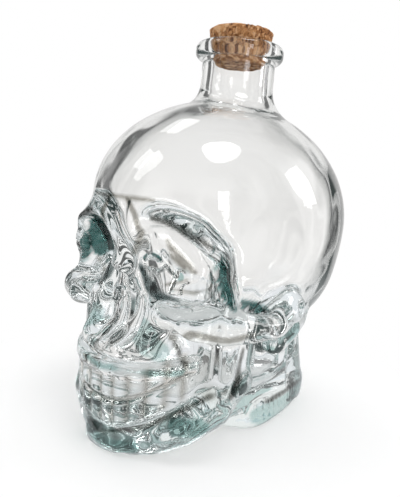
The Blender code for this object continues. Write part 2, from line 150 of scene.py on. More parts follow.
# Strokes of painted shade along those ridges: a tone, then points and half widths as for the bars
PAINTED_SHADE_STROKES = (
    # The band along the brow and the leaf on the outer rim of the eye hollow
    (GREY, (
        (0.37, -1.01, 1.00, 0.014), (0.52, -0.97, 0.985, 0.018), (0.68, -0.92, 0.95, 0.018),
        (0.79, -0.83, 0.91, 0.012),
    )),
    (DEEP_TEAL, (
        (0.85, -0.79, 0.89, 0.012), (0.885, -0.78, 0.83, 0.050), (0.92, -0.76, 0.76, 0.050),
        (0.94, -0.75, 0.69, 0.018),
    )),
    # The fold across the eye hollow and the fold beside the nose
    (WARM_GREY, (
        (0.28, -0.80, 0.90, 0.010), (0.32, -0.75, 0.84, 0.024), (0.40, -0.71, 0.80, 0.022),
        (0.47, -0.69, 0.78, 0.008),
    )),
    (DARK_GREY, (
        (0.16, -0.92, 0.79, 0.014), (0.25, -0.93, 0.73, 0.026), (0.35, -0.90, 0.69, 0.022),
        (0.50, -0.85, 0.68, 0.008),
    )),
    # Between the brows and along the top of the brow
    (WARM_GREY, (
        (0.11, -1.03, 1.06, 0.010), (0.20, -1.02, 1.00, 0.014), (0.21, -0.97, 0.93, 0.014),
        (0.13, -0.96, 0.85, 0.012),
    )),
    (WARM_GREY, ((0, -1.03, 1.07, 0.006), (0.14, -1.03, 1.07, 0.008), (0.34, -0.99, 1.07, 0.005))),
    # The back of the eye hollow, the cheek arch, the cleft before the ear, the eye hollow's floor
    (DEEP_TEAL, ((0.56, -0.86, 0.94, 0.024), (0.64, -0.77, 0.88, 0.058), (0.68, -0.74, 0.81, 0.050))),
    (WARM_GREY, (
        (0.46, -0.84, 0.52, 0.016), (0.77, -0.94, 0.58, 0.018), (1.00, -0.83, 0.57, 0.018),
        (1.07, -0.53, 0.60, 0.014),
    )),
    (DEEP_TEAL, ((0.82, -0.53, 0.67, 0.018), (0.80, -0.36, 0.63, 0.032), (0.85, -0.29, 0.62, 0.016))),
    (WARM_GREY, (
        (0.36, -0.85, 0.73, 0.005), (0.45, -0.75, 0.75, 0.007), (0.70, -0.73, 0.75, 0.009),
        (0.56, -0.76, 0.71, 0.009), (0.41, -0.84, 0.72, 0.005),
    )),
    # Along the jaw, the chin pad and the heel
    (SHADE, (
        (0, -1.07, 0.08, 0.008), (0.19, -1.04, 0.11, 0.010), (0.42, -0.97, 0.155, 0.010),
        (0.55, -0.88, 0.205, 0.012), (0.75, -0.75, 0.29, 0.012), (0.88, -0.68, 0.33, 0.010),
    )),
    (SEA, ((0, -1.06, 0.04, 0.030), (0.30, -1.00, 0.05, 0.035))),
    (SEA, ((0.62, -0.86, 0.17, 0.040), (0.78, -0.80, 0.18, 0.036))),
    (PALE_TEAL, (
        (0.80, -0.45, 0.10, 0.030), (0.72, 0, 0.06, 0.050), (0.70, 0.25, 0.05, 0.050),
        (0.58, 0.62, 0.05, 0.040),
    )),
    (GREY, ((0.74, -0.25, 0.145, 0.012), (0.71, 0.05, 0.12, 0.012), (0.60, 0.60, 0.105, 0.012))),
    (SHADE, ((0.84, -0.40, 0.02, 0.008), (0.77, 0, 0.015, 0.010), (0.64, 0.60, 0.015, 0.010))),
    # The jaw's upright branch, the nape and the hollow under the cheek
    (GREY, ((0.88, -0.54, 0.48, 0.012), (0.91, -0.60, 0.34, 0.020), (0.90, -0.65, 0.30, 0.012))),
    (SEA, ((0.81, -0.16, 0.42, 0.018), (0.90, 0.05, 0.50, 0.035))),
    (GREY, ((0.51, -0.85, 0.50, 0.010), (0.61, -0.835, 0.425, 0.014))),
    # Over the teeth and along the gum
    (PALE_TEAL, ((0.30, -0.99, 0.55, 0.050), (0.40, -0.98, 0.50, 0.050), (0.45, -0.93, 0.47, 0.040))),
    (SEA, (
        (0, -1.09, 0.375, 0.014), (0.15, -1.08, 0.385, 0.014), (0.45, -1.00, 0.395, 0.014),
        (0.60, -0.85, 0.39, 0.014),
    )),
)
STROKE_SOFTNESS = 0.0016
STREAK_LENGTH, STREAKS = 0.0035, 0.35
# The painted shade in the seams between the teeth: its tone, how it fades at its ends and how strong it
# starts
GROOVE_SHADE, SEAM_FADE, SEAM_STRENGTH = (0.58, 0.555, 0.52), 0.02, 1.6
# They show on the front of the rows, and only on the outer face of the teeth
FRONT_STEEPNESS, FRONT_START, OUTER_FACE = 4, 0.8, 0.9
SEEDS = {"swell": 3, "dimples": 5, "cork": 7, "inner swell": 11, "streaks": 17}

# Where the rays that find the skins start, as shares of the crown's height
OUTER_PIVOT = 0.08
INNER_PIVOT = 0.22
HIGH_PIVOT = 0.74
SHOULDER = 0.99
# The outer skin's first grid, before it is split twice as fine. It crowds towards the face
COLUMNS = 192
CROWD = 0.5
LOW_ROWS, SIDE_ROWS, CROWN_ROWS, NECK_ROWS = 16, 78, 18, 4
INNER_LOW_ROWS, INNER_SIDE_ROWS, INNER_CROWN_ROWS = 14, 40, 12
# How far from straight down the lowest row points, in rows
FIRST_ROW = 0.7
# Rounds of even spacing before and after the split
FIRST_ROUNDS, LAST_ROUNDS = 8, 2
LIP_POINTS, MOUTH_POINTS, BORE_RINGS = 12, 6, 12
PROBE_REACH = 0.110
PROBE_STEPS = 60
PROBE_HALVINGS = 10
# A short step off the skin, for its slope and for rays into the glass
NUDGE = 0.0002

SKULL = np.array((CRANIUM_HALF_WIDTH, CRANIUM_HALF_LENGTH, CROWN_HEIGHT))
FACE = np.array((CHEEK_HALF_WIDTH, FACE_REACH, BROW_HEIGHT))
TINY = np.finfo(float).eps


# Forms. Each gives how far a point lies outside it, negative inside


def join(a, b, blend):
    near = np.maximum(blend - np.abs(a - b), 0) / blend
    return np.minimum(a, b) - near * near * blend / 4


def carve(shape, hollow, blend):
    return -join(-shape, hollow, blend)


def egg(p, shares, size):
    middle, half = np.array(shares) * size
    q = (p - middle) / half
    reach = np.sqrt((q * q).sum(-1)) + TINY
    return reach * (reach - 1) / (np.sqrt((q * q / half / half).sum(-1)) + TINY)


def bar(p, shares):
    """A round bar through points that each have their own thickness."""
    rows = np.array(shares)
    spots, thicks = rows[:, :3] * FACE, rows[:, 3] * BROW_HEIGHT
    gaps = []
    for start, end, thick, next_thick in zip(spots, spots[1:], thicks, thicks[1:]):
        along = end - start
        share = np.clip((p - start) @ along / (along @ along), 0, 1)
        away = np.linalg.norm(p - start - share[..., None] * along, axis=-1)
        gaps.append(away - thick - share * (next_thick - thick))
    return np.min(gaps, axis=0)


def block(p, shares, corner):
    middle, half = np.array(shares) * FACE
    q = np.abs(p - middle) - half + corner
    return np.linalg.norm(np.maximum(q, 0), axis=-1) + np.minimum(q.max(-1), 0) - corner


def drum(p, shares, square, corner, taper=0, lift=0, relief=0):
    """An upright drum with a rounded square outline. Its sides may bulge into teeth."""
    foot, top, heights = shares
    low, high = np.array(heights) * BROW_HEIGHT
    rise = np.clip((p[..., 2] - low) / (high - low), 0, 1)
    outline = [a + rise * (b - a) for a, b in zip(foot, top)]
    y = p[..., 1] - outline[0] * FACE_REACH
    half_x, half_y = outline[1] * CHEEK_HALF_WIDTH, outline[2] * FACE_REACH
    half_x = half_x * (1 - taper * np.clip(y / half_y, -1, 1))
    around = (np.abs(p[..., 0]) / half_x) ** square + (np.abs(y) / half_y) ** square
    level = around ** (1 / square) + TINY
    side = np.hypot(p[..., 0], y) * (level - 1) / level + corner
    if relief:
        turn = np.arctan2(p[..., 0] / half_x, -y / half_y)
        crown = np.sqrt(np.abs(np.sin(2 * TEETH_PER_SIDE * turn)))
        side = side + relief * (1 - crown)
    z = p[..., 2] - lift * BROW_HEIGHT * np.minimum(np.abs(p[..., 0]) / half_x, 1) ** 2
    end = np.abs(z - (low + high) / 2) - (high - low) / 2 + corner
    outside = np.hypot(np.maximum(side, 0), np.maximum(end, 0))
    return outside + np.minimum(np.maximum(side, end), 0) - corner


def mirrored(points):
    """A copy with both halves of the skull folded onto one."""
    p = points.copy()
    p[..., 0] = np.abs(p[..., 0])
    return p


def braincase(p):
    shape = egg(p, BRAINCASE, SKULL)
    shape = join(shape, egg(p, FOREHEAD, SKULL), BROAD_BLEND)
    return join(shape, egg(p, OCCIPUT, SKULL), BROAD_BLEND)


def orbit(p):
    """The eye hollow. Its roof and floor run down towards the temple."""
    leaning = p.copy()
    leaning[..., 2] += ORBIT_SLANT * (p[..., 0] - ORBIT[0][0] * CHEEK_HALF_WIDTH)
    return egg(leaning, ORBIT, FACE)


def muzzle(p):
    return drum(p, MUZZLE, MUZZLE_SQUARE, SOFT_BLEND)


def heel(p):
    return drum(p, HEEL, HEEL_SQUARE, SOFT_BLEND, taper=HEEL_TAPER)


def face_on(shape, p):
    shape = join(shape, egg(p, MIDFACE, FACE), SOFT_BLEND)
    shape = join(shape, bar(p, RIM_ROOT), SOFT_BLEND)
    shape = join(shape, bar(p, BROW), SOFT_BLEND)
    shape = carve(shape, egg(p, TEMPLE, FACE), SOFT_BLEND)
    shape = join(shape, muzzle(p), SOFT_BLEND)
    shape = join(shape, block(p, CORE, SOFT_BLEND), SOFT_BLEND)
    shape = join(shape, bar(p, RIM), CRISP_BLEND)
    shape = join(shape, bar(p, CHEEK), CRISP_BLEND)
    shape = join(shape, bar(p, NOSE), SOFT_BLEND)
    shape = join(shape, bar(p, NOSE_SIDE), CRISP_BLEND)
    shape = carve(shape, orbit(p), CRISP_BLEND)
    for hollow in (NOSTRIL, CANINE_HOLLOW):
        shape = carve(shape, egg(p, hollow, FACE), CRISP_BLEND)
    return shape


def teeth(p, shares):
    return drum(p, shares, MUZZLE_SQUARE, TOOTH_BLEND, lift=SMILE, relief=TOOTH_RELIEF)


def jaws_on(shape, p):
    shape = join(shape, bar(p, JAW), CRISP_BLEND)
    shape = join(shape, block(p, RAMUS, CRISP_BLEND), CRISP_BLEND)
    gum = drum(p, GUM, MUZZLE_SQUARE, CRISP_BLEND / 2, lift=GUM_LIFT)
    upper = np.maximum(teeth(p, UPPER_TEETH), p[..., 2] - GUM_LINE * BROW_HEIGHT)
    for row in (teeth(p, LOWER_TEETH), upper, gum):
        shape = join(shape, row, TOOTH_BLEND)
    return shape


def clay(points):
    """The outside of the whole skull with its neck, up to the lip."""
    p = mirrored(points)
    shape = jaws_on(face_on(braincase(p), p), p)
    shape = join(shape, bar(p, NAPE), SOFT_BLEND)
    shape = join(shape, egg(p, EAR_ROOT, FACE), SOFT_BLEND)
    shape = join(shape, egg(p, EAR, FACE), CRISP_BLEND)
    shape = carve(shape, egg(p, EAR_HOLLOW, FACE), TOOTH_BLEND)
    shape = join(shape, heel(p), CRISP_BLEND)
    shape = join(shape, drum(p, FOOT, FOOT_SQUARE, CRISP_BLEND, taper=FOOT_TAPER), CRISP_BLEND)
    shape = join(shape, drum(p, CHIN_PAD, CHIN_SQUARE, CRISP_BLEND), CRISP_BLEND)
    neck = np.hypot(p[..., 0], p[..., 1]) - NECK_RADIUS
    neck = np.maximum(neck, HIGH_PIVOT * CROWN_HEIGHT - p[..., 2])
    shape = join(shape, np.maximum(neck, p[..., 2] - LIP_TOP), NECK_BLEND)
    return carve(shape, p[..., 2], CRISP_BLEND)


def hollow_of(points):
    """The blown hollow. It follows only the big forms, so ridges, teeth and arches are solid."""
    p = mirrored(points)
    shape = join(braincase(p), egg(p, MIDFACE, FACE), HOLLOW_BLEND)
    shape = carve(shape, egg(p, TEMPLE, FACE), HOLLOW_BLEND)
    for form in (muzzle(p), block(p, CORE, SOFT_BLEND), heel(p), block(p, RAMUS, CRISP_BLEND)):
        shape = join(shape, form, HOLLOW_BLEND)
    for recess in (orbit(p), egg(p, NOSTRIL, FACE)):
        shape = carve(shape, recess, HOLLOW_BLEND)
    shape = FOLLOW * clay(points) + (1 - FOLLOW) * shape
    return carve(shape + WALL, p[..., 2] - BASE_THICKNESS, HOLLOW_BLEND)


# Skins. Each is a grid of points, row above row, with its columns running round the skull


def probe_rays(low, low_rows, side_rows, crown_rows, neck_rows, columns):
    """Rays that fan out from the axis: under the low pivot, level up the sides, over the crown."""
    even = np.linspace(0, 2 * math.pi, columns, endpoint=False)
    turn = even - CROWD * np.sin(even)
    high = HIGH_PIVOT * CROWN_HEIGHT
    shoulder = SHOULDER * CROWN_HEIGHT
    steepest = math.atan2(shoulder - high, NECK_RADIUS + NECK_BLEND / 4)
    rows = [(low, -math.pi / 2 * (1 - (i + FIRST_ROW) / low_rows) ** 2) for i in range(low_rows)]
    rows += [(z, 0) for z in np.linspace(low, high, side_rows)]
    rows += [(high, steepest * (i + 1) / crown_rows) for i in range(crown_rows)]
    rows += [(z, 0) for z in np.linspace(shoulder, NECK_TOP, neck_rows + 1)[1:]]
    heights, tilts = np.array(rows).T
    origins = np.zeros((len(rows), columns, 3))
    origins[..., 2] = heights[:, None]
    level = np.stack([np.sin(turn), -np.cos(turn), np.zeros(columns)], axis=-1)
    up = np.array((0, 0, 1))
    aims = np.cos(tilts)[:, None, None] * level + np.sin(tilts)[:, None, None] * up
    return origins, aims


def probe(form, origins, aims):
    """How far along each ray the form's outermost surface lies."""
    stride = PROBE_REACH / PROBE_STEPS
    inner = np.zeros(origins.shape[:-1])
    seeking = np.ones(origins.shape[:-1], bool)
    for depth in np.arange(PROBE_REACH, 0, -stride):
        inner[seeking] = depth
        seeking[seeking] = form(origins[seeking] + aims[seeking] * depth) > 0
    outer = inner + stride
    for _ in range(PROBE_HALVINGS):
        middle = (inner + outer) / 2
        inside = form(origins + aims * middle[..., None]) < 0
        inner = np.where(inside, middle, inner)
        outer = np.where(inside, outer, middle)
    return (inner + outer) / 2


def neighbours(grid):
    """Each point's own value and those of the eight round it."""
    padded = np.concatenate([grid[:1], grid, grid[-1:]])
    rows = [padded[:-2], padded[1:-1], padded[2:]]
    return np.stack([np.roll(row, turn, axis=1) for row in rows for turn in (-1, 0, 1)])


def evened(skin):
    """All points but the end rows', moved to the middle of their four neighbours."""
    sides = np.roll(skin, 1, axis=1) + np.roll(skin, -1, axis=1)
    return (sides[1:-1] + skin[:-2] + skin[2:]) / 4


def pressed(skin):
    """Moves each point along the clay's slope until it lies on the clay."""
    level = clay(skin)
    slope = np.stack([clay(skin + step) - level for step in np.eye(3) * NUDGE], axis=-1) / NUDGE
    steepness = (slope * slope).sum(-1) + TINY
    return skin - slope * (level / steepness)[..., None]


def relaxed(skin, rounds):
    """Spaces the points evenly while they stay on the clay."""
    skin = pressed(skin)
    for _ in range(rounds):
        skin[1:-1] = pressed((evened(skin) + skin[1:-1]) / 2)
    return skin


def split(skin):
    """Doubles the columns and the rows with smooth in-between points."""
    before, after, far = np.roll(skin, 1, 1), np.roll(skin, -1, 1), np.roll(skin, -2, 1)
    wide = np.empty((len(skin), skin.shape[1] * 2, 3))
    wide[:, ::2] = skin
    wide[:, 1::2] = (9 * (skin + after) - before - far) / 16
    ends = np.concatenate([2 * wide[:1] - wide[1:2], wide, 2 * wide[-1:] - wide[-2:-1]])
    tall = np.empty((len(skin) * 2 - 1, skin.shape[1] * 2, 3))
    tall[::2] = wide
    tall[1::2] = (9 * (ends[1:-2] + ends[2:-1]) - ends[:-3] - ends[3:]) / 16
    return tall


def outward(skin):
    """Unit normals of a skin's grid."""
    around = np.roll(skin, -1, axis=1) - np.roll(skin, 1, axis=1)
    normal = np.cross(around, np.gradient(skin, axis=0))
    return normal / (np.linalg.norm(normal, axis=2, keepdims=True) + TINY)


def sunk_by(skin, depth):
    return skin - outward(skin) * depth[..., None]


def ripples(points, length, seed):
    """An uneven field from 0 to 1 that swells and sinks over about the given length."""
    rng = np.random.default_rng(seed)
    aims = rng.normal(size=(WAVES, 3))
    pace = rng.uniform(SLOWEST_WAVE, FASTEST_WAVE, (WAVES, 1)) * 2 * math.pi / length
    aims *= pace / np.linalg.norm(aims, axis=1, keepdims=True)
    phases = rng.uniform(0, 2 * math.pi, WAVES)
    level = sum(np.sin(points @ aim + phase) for aim, phase in zip(aims, phases)) / math.sqrt(WAVES)
    return np.clip(0.5 + level / 3, 0, 1)


def swells(skin):
    return SWELL * ripples(skin, SWELL_LENGTH, SEEDS["swell"])


def dimples(skin):
    """The hammered look low on the chin and the heel."""
    low = np.clip((HAMMER_TOP - skin[..., 2]) / HAMMER_TOP, 0, 1)
    return HAMMER_DEPTH * low * ripples(skin, HAMMER_LENGTH, SEEDS["dimples"])


def knurls(skin):
    """The short upright ribs round the foot of the heel."""
    turn = np.arctan2(skin[..., 0], skin[..., 1] - FOOT[0][0] * FACE_REACH)
    wave = 0.5 - 0.5 * np.cos(KNURLS * turn)
    band = np.clip(1 - np.abs(skin[..., 2] - KNURL_HEIGHT) / KNURL_REACH, 0, 1)
    return KNURL_DEPTH * wave * np.sqrt(band) * (skin[..., 1] > KNURLS_START * FACE_REACH)


def outer_skin():
    origins, aims = probe_rays(
        OUTER_PIVOT * CROWN_HEIGHT, LOW_ROWS, SIDE_ROWS, CROWN_ROWS, NECK_ROWS, COLUMNS
    )
    reach = probe(clay, origins, aims)
    skull = slice(0, -NECK_ROWS)
    reach[skull] = neighbours(neighbours(reach[skull]).mean(axis=0)).mean(axis=0)
    skin = relaxed(origins + aims * reach[..., None], FIRST_ROUNDS)
    skin = relaxed(split(skin), LAST_ROUNDS)
    skin = sunk_by(skin, swells(skin) + dimples(skin) + knurls(skin))
    skin[..., :2] *= SKIN_EASE
    skin[..., 2] = np.maximum(skin[..., 2], 0)
    return skin


def inner_skin():
    origins, aims = probe_rays(
        INNER_PIVOT * CROWN_HEIGHT, INNER_LOW_ROWS, INNER_SIDE_ROWS, INNER_CROWN_ROWS, 0, COLUMNS // 2
    )
    reach = neighbours(probe(hollow_of, origins, aims)).mean(axis=0)
    skin = origins + aims * reach[..., None]
    for _ in range(INNER_SMOOTHING):
        skin[1:-1] = (skin[1:-1] + evened(skin)) / 2
    skin = split(split(skin))
    skin = sunk_by(skin, np.clip(clay(skin) + THINNEST_WALL, 0, None))
    return sunk_by(skin, INNER_SWELL * ripples(skin, INNER_SWELL_LENGTH, SEEDS["inner swell"]))


def circle_ring(radius, height):
    even = np.linspace(0, 2 * math.pi, COLUMNS * 2, endpoint=False)
    turn = even - CROWD * np.sin(even)
    return np.stack([radius * np.sin(turn), -radius * np.cos(turn), np.full(len(turn), height)], -1)


def cork_radius(height):
    share = (height - CORK_TOP + CORK_HEIGHT) / CORK_HEIGHT
    return CORK_BOTTOM_RADIUS + share * (CORK_TOP_RADIUS - CORK_BOTTOM_RADIUS)


def arc(middle_radius, middle_height, radius, start, end, points):
    """Radius and height along an arc whose start and end are given in quarter turns."""
    turns = np.linspace(start, end, points) * math.pi / 2
    return [(middle_radius + radius * math.cos(t), middle_height + radius * math.sin(t)) for t in turns]


def turned_outline():
    """Radius and height over the bead of the lip, into the mouth and down the bore."""
    bead = LIP_RADIUS - LIP_ROUND
    mouth = cork_radius(LIP_TOP - MOUTH_ROUND) + CORK_CLEARANCE
    bore = CORK_BOTTOM_RADIUS + CORK_CLEARANCE
    foot = CORK_TOP - CORK_HEIGHT
    shoulder = SHOULDER * CROWN_HEIGHT
    points = arc(bead, NECK_TOP + LIP_ROUND, LIP_ROUND, -1, 0, LIP_POINTS)
    points += arc(bead, LIP_TOP - LIP_ROUND, LIP_ROUND, 0, 1, LIP_POINTS)
    points += arc(mouth + MOUTH_ROUND, LIP_TOP - MOUTH_ROUND, MOUTH_ROUND, 1, 2, MOUTH_POINTS)
    points += [(bore, z) for z in np.linspace(foot, shoulder + WALL, BORE_RINGS)]
    return points


# Pieces


def sewn_mesh(name, rings, first_middle, last_middle):
    """A closed mesh from rings of points, with each end drawn to a point. It stands on the frame."""
    solid = bmesh.new()
    loops = [[solid.verts.new(point) for point in ring] for ring in rings]
    count = len(loops[0])
    for lower, upper in zip(loops, loops[1:]):
        for i in range(count):
            after = (i + 1) % count
            solid.faces.new((lower[i], lower[after], upper[after], upper[i]))
    for ring, point in ((loops[0], first_middle), (loops[-1], last_middle)):
        middle = solid.verts.new(point)
        for i in range(count):
            solid.faces.new((ring[i], ring[(i + 1) % count], middle))
    bmesh.ops.recalc_face_normals(solid, faces=solid.faces)
    bmesh.ops.translate(solid, verts=solid.verts, vec=(0, NECK_SETBACK, 0))
    mesh = bpy.data.meshes.new(name)
    solid.to_mesh(mesh)
    solid.free()
    mesh.shade_smooth()
    return mesh


def place(name, mesh, body, node):
    made = bpy.data.objects.new(name, mesh)
    bpy.context.scene.collection.objects.link(made)
    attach(made, body)
    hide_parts(node)


def glass_bottle():
    """One closed mesh: up the outer skin, over the lip, down the bore and the inner skin."""
    outer, inner = outer_skin(), inner_skin()
    turned = [circle_ring(radius, height) for radius, height in turned_outline()]
    throat = (turned[-1] + inner[-1]) / 2
    throat[:, 2] = inner[-1, :, 2] + WALL / 2
    rings = [*outer, *turned, throat, *inner[::-1]]
    mesh = sewn_mesh("glass_bottle_fine", rings, outer[0].mean(axis=0), inner[0].mean(axis=0))
    measure_depth(mesh)
    shade_strokes(mesh)
    mesh.materials.append(clear_glass())
    place("moulded_glass", mesh, "bottle", "glass_bottle")


def measure_depth(mesh):
    """Writes how thick the glass is under each point of its skin, in metres."""
    spots = [v.co.copy() for v in mesh.vertices]
    tree = BVHTree.FromPolygons(spots, [tuple(face.vertices) for face in mesh.polygons])
    depths = np.zeros(len(spots))
    for i, (spot, normal) in enumerate(zip(spots, mesh.vertex_normals)):
        distance = tree.ray_cast(spot - normal.vector * NUDGE, -normal.vector)[3]
        depths[i] = distance or 0
    layer = mesh.attributes.new("glass_depth", "FLOAT", "POINT")
    layer.data.foreach_set("value", depths.astype(np.float32))


def shade_strokes(mesh):
    """Writes painted shade into the glass's colour: darker along the solid ridges that fold the light
    away.

    The shader takes the square root of a colour at each crossing of the skin, so the tones are squared.
    """
    points = np.array([v.co for v in mesh.vertices]) - (0, NECK_SETBACK, 0)
    streaks = ripples(points, STREAK_LENGTH, SEEDS["streaks"])
    points = mirrored(points)
    tone = np.ones((len(points), 4))
    for colour, rows in PAINTED_SHADE_STROKES:
        mask = np.clip(-bar(points, rows) / STROKE_SOFTNESS + 0.5, 0, 1)
        mask = mask * mask * (3 - 2 * mask) * (1 - STREAKS * streaks)
        tone[:, :3] *= np.array(colour) ** (2 * mask[:, None])
    # Painted shade in the seams between the teeth and along the bite
    tone[:, :3] *= np.array(GROOVE_SHADE) ** (2 * tooth_grooves(points)[:, None])
    layer = mesh.attributes.new("painted_glass_shade", "FLOAT_COLOR", "POINT")
    layer.data.foreach_set("color", tone.astype(np.float32).ravel())


def tooth_grooves(points):
    """Where painted shade lies in the seams between the teeth and along the line of the bite, from 0 to 1.
    """
    middle, half_width, half_reach = LOWER_TEETH[0]
    across = points[:, 0] / (half_width * CHEEK_HALF_WIDTH)
    ahead = (middle * FACE_REACH - points[:, 1]) / (half_reach * FACE_REACH)
    seam = 1 - np.sqrt(np.abs(np.sin(2 * TEETH_PER_SIDE * np.arctan2(across, ahead))))
    level = points[:, 2] / BROW_HEIGHT - SMILE * np.minimum(across, 1) ** 2
    low, high = LOWER_TEETH[2][0], GUM[2][0]
    rows = np.clip((level - low) / SEAM_FADE, 0, 1) * np.clip((high - level) / SEAM_FADE, 0, 1)
    bite_line = (LOWER_TEETH[2][1] + UPPER_TEETH[2][0]) / 2
    bite = np.clip(1 - np.abs(level - bite_line) / SEAM_FADE, 0, 1)
    front = np.clip(ahead * FRONT_STEEPNESS - FRONT_START, 0, 1)
    seen = front * (np.hypot(across, ahead) > OUTER_FACE)
    return np.maximum(np.clip(seam * SEAM_STRENGTH, 0, 1) * rows, bite) * seen


# The stopper's grid, its granules and the cracks and chips between them
CORK_COLUMNS = 256
CORK_FOOT_RINGS, CORK_SIDE_RINGS, CORK_HEAD_RINGS = 16, 40, 38
CORK_CENTRE_RING = 0.0006
CORNER_SHARES = (0.33, 0.67)
GRANULE, GRANULE_SPREAD = 0.0014, 0.6
GRANULE_RELIEF = 0.00018
CRACK_WIDTH, CRACK_DEPTH = 0.00042, 0.00030
# Only granules of high rank open a crack between them: how steeply, and from what sum of ranks
CRACK_STEEPNESS, CRACK_START = 1.6, 0.85
CHIP_REACH, CHIP_DEPTH, CHIP_START = 0.0016, 0.0016, 0.55
POINT_BATCHES = 40


def granules(points):
    """For each point: its granule's tone and depth, and how near it is to the crack beside it."""
    rng = np.random.default_rng(SEEDS["cork"])
    count = int(math.pi * CORK_TOP_RADIUS**2 * CORK_HEIGHT / GRANULE**3)
    seeds = rng.uniform(-1, 1, (count, 3)) * (CORK_TOP_RADIUS, CORK_TOP_RADIUS, CORK_HEIGHT / 2)
    seeds[:, 2] += CORK_TOP - CORK_HEIGHT / 2
    sizes = rng.uniform(0, GRANULE_SPREAD, count)
    tones, depths, ranks = rng.uniform(0, 1, (3, count))
    found = []
    for batch in np.array_split(points, POINT_BATCHES):
        away = np.linalg.norm(batch[:, None] - seeds, axis=2) - sizes * GRANULE
        nearest = np.argsort(away, axis=1)[:, :2]
        near, next_near = np.take_along_axis(away, nearest, 1).T
        own, beside = nearest.T
        width = np.clip(CRACK_STEEPNESS * (ranks[own] + ranks[beside] - CRACK_START), 0, 1)
        crack = np.clip(1 - (next_near - near) / CRACK_WIDTH, 0, 1) * width
        found.append(np.stack([tones[own], depths[own], crack], 1))
    return np.concatenate(found).T


def cork_outline():
    """Radius and height from the middle of the foot, up the side and in over the top."""
    base = CORK_TOP - CORK_HEIGHT
    corner = cork_radius(CORK_TOP - CORK_CHAMFER)
    foot = np.linspace(CORK_CENTRE_RING, CORK_BOTTOM_RADIUS - CORK_CHAMFER, CORK_FOOT_RINGS)
    side = np.linspace(base + CORK_CHAMFER, CORK_TOP - CORK_CHAMFER, CORK_SIDE_RINGS)
    head = np.linspace(corner - CORK_CHAMFER, CORK_CENTRE_RING, CORK_HEAD_RINGS)
    points = [(radius, base) for radius in foot]
    points += [(cork_radius(height), height) for height in side]
    points += [(corner - CORK_CHAMFER * s, CORK_TOP - CORK_CHAMFER * (1 - s)) for s in CORNER_SHARES]
    points += [(radius, CORK_TOP) for radius in head]
    return np.array(points)


def cork_stopper():
    """The stopper, with its surface broken into pressed granules that only sink inwards."""
    outline = cork_outline()
    slope = np.gradient(outline, axis=0)
    inward = np.stack([-slope[:, 1], slope[:, 0]], 1) / np.linalg.norm(slope, axis=1)[:, None]
    turn = np.linspace(0, 2 * math.pi, CORK_COLUMNS, endpoint=False)
    around = np.stack([np.cos(turn), np.sin(turn), np.zeros_like(turn)], 1)
    rings = outline[:, None, :1] * around + [0, 0, 1] * outline[:, None, 1:]
    tone, sunk, crack = granules(rings.reshape(-1, 3))
    grid = (len(outline), CORK_COLUMNS)
    corner = (cork_radius(CORK_TOP - CORK_CHAMFER), CORK_TOP)
    rim = np.clip(1 - np.linalg.norm(outline - corner, axis=1) / CHIP_REACH, 0, 1)
    chips = np.clip(sunk - CHIP_START, 0, 1).reshape(grid) * rim[:, None] * CHIP_DEPTH
    depth = GRANULE_RELIEF * sunk.reshape(grid) + CRACK_DEPTH * crack.reshape(grid) + chips
    rings = rings + depth[..., None] * (inward[:, None, :1] * around + [0, 0, 1] * inward[:, None, 1:])
    foot_middle = (0, 0, CORK_TOP - CORK_HEIGHT)
    mesh = sewn_mesh("cork_fine", rings, foot_middle, rings[-1].mean(axis=0))
    for name, values in (("granule_tone", tone), ("granule_crack", crack)):
        # The last two points of the mesh are the middles of its foot and its top
        field = mesh.attributes.new(name, "FLOAT", "POINT")
        field.data.foreach_set("value", np.append(values, [0.5, 0.5]).astype(np.float32))
    mesh.materials.append(pressed_cork())
    place("pressed_cork", mesh, "cork", "cork_stopper")


# Nodes


def wire(tree, entry, value):
    """Links an input to a socket, or sets it to a number, a direction or a colour."""
    if isinstance(value, bpy.types.NodeSocket):
        tree.links.new(value, entry)
    elif entry.type == "RGBA":
        entry.default_value = (*value, 1)
    else:
        entry.default_value = value


def new_node(tree, kind, inputs, **settings):
    """A new node with its settings made and its inputs wired, by name or by number."""
    made = tree.nodes.new(kind)
    for name, value in settings.items():
        setattr(made, name, value)
    for name, value in inputs.items():
        wire(tree, made.inputs[name], value)
    return made


def calculated(tree, operation, *values):
    return new_node(tree, "ShaderNodeMath", dict(enumerate(values)), operation=operation).outputs["Value"]


def stored(tree, name, output):
    """A field that the mesh carries."""
    return new_node(tree, "ShaderNodeAttribute", {}, attribute_name=name).outputs[output]


def part_of(tree, vector, axis):
    return new_node(tree, "ShaderNodeSeparateXYZ", {"Vector": vector}).outputs[axis]


def faded(tree, value, start, end, highest=1, kind="SMOOTHSTEP"):
    """Runs from 0 to the highest value while the given one goes from start to end."""
    inputs = {"Value": value, "From Min": start, "From Max": end, "To Max": highest}
    return new_node(tree, "ShaderNodeMapRange", inputs, interpolation_type=kind).outputs["Result"]


def mixed(tree, factor, first, second, way="MIX"):
    inputs = {"Factor": factor, "A": first, "B": second}
    made = new_node(tree, "ShaderNodeMix", inputs, data_type="RGBA", blend_type=way)
    return made.outputs["Result"]


def times(tree, first, second):
    return mixed(tree, 1, first, second, "MULTIPLY")


def either(tree, factor, first, second):
    """The first shader, or the second where the factor is 1."""
    return new_node(tree, "ShaderNodeMixShader", {"Fac": factor, 1: first, 2: second}).outputs["Shader"]


def noise(tree, spot, scale, detail, roughness):
    inputs = {"Vector": spot, "Scale": scale, "Detail": detail, "Roughness": roughness}
    return new_node(tree, "ShaderNodeTexNoise", inputs).outputs["Fac"]


def ramp(tree, factor, stops):
    """A colour ramp. Each stop has a place and a colour, or a place and a grey level."""
    made = new_node(tree, "ShaderNodeValToRGB", {"Fac": factor})
    made.color_ramp.interpolation = "EASE"
    points = made.color_ramp.elements
    while len(points) > 1:
        points.remove(points[-1])
    for i, (spot, level) in enumerate(stops):
        point = points[0] if i == 0 else points.new(spot)
        point.position = spot
        tint = level if isinstance(level, tuple) else (level,) * 3
        point.color = (*tint, 1)
    return made.outputs["Color"]


# Finishes

